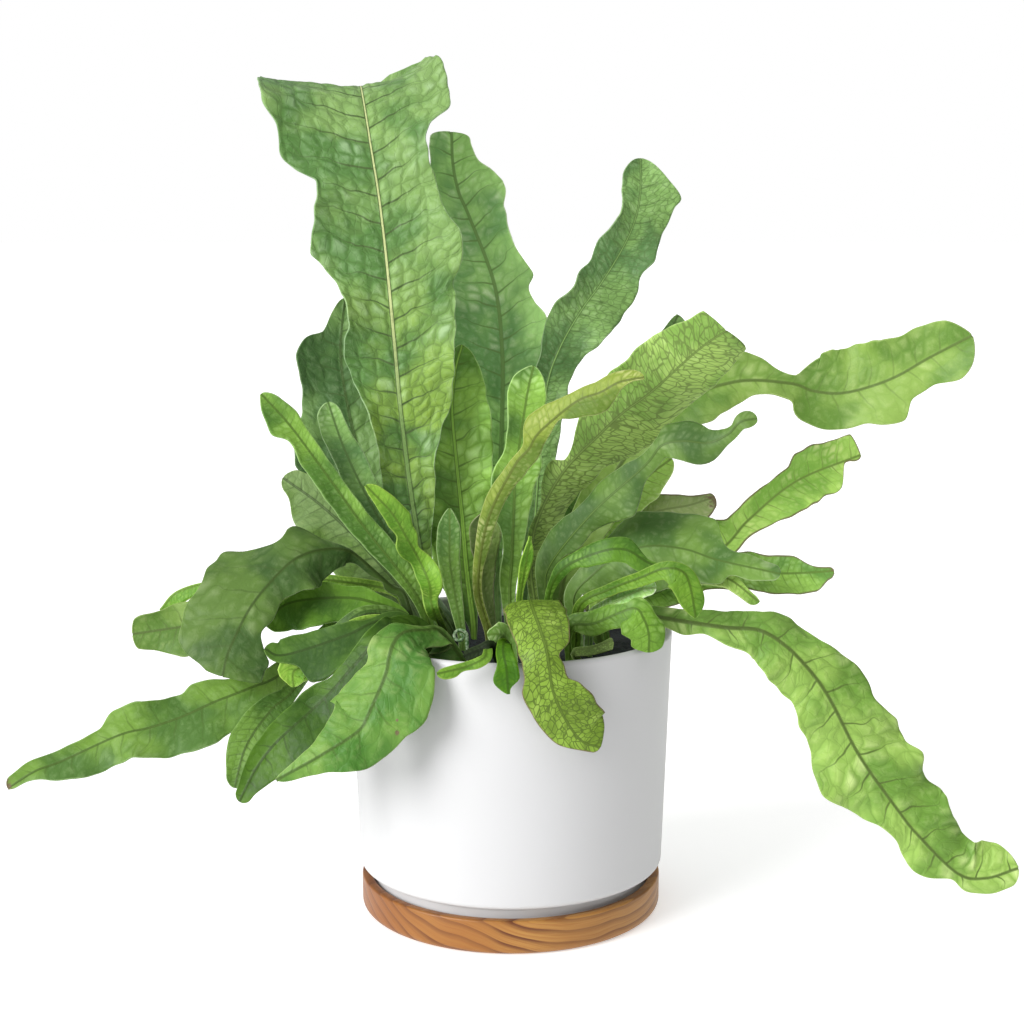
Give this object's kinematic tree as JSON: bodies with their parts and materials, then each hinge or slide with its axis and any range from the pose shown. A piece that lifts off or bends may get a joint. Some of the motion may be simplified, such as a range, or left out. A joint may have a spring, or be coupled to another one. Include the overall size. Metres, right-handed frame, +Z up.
{
  "type": "potted crocodile fern",
  "caption": "Leafy fern with long ruffled, net-veined fronds, rooted in soil in a round white ceramic pot that stands in a turned wood saucer.",
  "frame": {"origin": "middle of the saucer's flat underside, on the surface that it stands on", "axes": "+Z up along the pot's axis, -Y towards the viewer of the picture, +X to the picture's right"},
  "size_m": [0.482, 0.1885, 0.4237],
  "materials": {
    "saucer_wood": "lacquered light wood with dark grain streaks",
    "white_ceramic": "satin white glaze",
    "potting_soil": "dark crumbly potting mix",
    "leaf_mottled": "yellow green with a brown green net and brown margins",
    "leaf_lime": "bright yellow green, glossy",
    "leaf_olive": "olive yellow underside with a dense dark net of veins",
    "leaf_mottled_light": "light green with a dense net of veins",
    "leaf_dark": "dark green, glossy, with a net of darker veins",
    "leaf_light": "light green, satin, with a net of dark veins",
    "leaf_mid": "mid green, satin, with a net of dark veins",
    "leaf_blue": "blue green, matte, with a pale margin",
    "leaf_pale": "pale grey green, matte",
    "leaf_brown": "brownish green, drying",
    "leaf_young": "pale green, downy"
  },
  "bodies": {
    "root": {"saucer": "saucer_wood", "pot": "white_ceramic", "soil": "potting_soil", "frond_front_hanging": "leaf_mottled", "frond_rim_small_left": "leaf_lime", "frond_rim_small_right": "leaf_lime", "frond_soil_leaf": "leaf_olive", "frond_right_front_lobe": "leaf_mottled_light", "frond_bright_lobe": "leaf_lime", "frond_dark_low": "leaf_dark", "frond_front_left_big": "leaf_light", "frond_wavy_front_right": "leaf_mid", "frond_grey_small": "leaf_blue", "frond_young_left": "leaf_lime", "frond_pale_leaf": "leaf_pale", "frond_low_left_middle": "leaf_mid", "frond_right_hanging": "leaf_light", "frond_low_left_outer": "leaf_mid", "frond_young_blade": "leaf_lime", "frond_pale_twisting": "leaf_lime", "frond_left_narrow_low": "leaf_mid", "frond_sliver_left": "leaf_dark", "frond_dark_arch_left": "leaf_blue", "frond_grey_narrow": "leaf_blue", "frond_curl_left": "leaf_lime", "frond_left_narrow_high": "leaf_dark", "frond_tall_front": "leaf_mid", "frond_left_mid_dark": "leaf_dark", "frond_blue_wavy": "leaf_blue", "frond_small_upright": "leaf_mid", "frond_grey_wide_right": "leaf_blue", "frond_old_brown": "leaf_brown", "frond_hook_right": "leaf_light", "frond_left_mid_light": "leaf_mid", "frond_wide_patterned": "leaf_olive", "frond_upright_mid": "leaf_mid", "frond_right_back_low": "leaf_mid", "frond_far_left": "leaf_mid", "frond_left_pale": "leaf_light", "frond_right_upright": "leaf_dark", "frond_left_curl": "leaf_lime", "frond_far_right": "leaf_light", "frond_light_back_left": "leaf_olive", "frond_patterned_behind": "leaf_light", "frond_brown_tipped": "leaf_brown", "frond_second_tall": "leaf_dark", "frond_right_up_bright": "leaf_light", "frond_dark_back_left": "leaf_dark", "frond_behind_patterned": "leaf_dark", "fiddlehead": "leaf_young"}
  },
  "joints": []
}
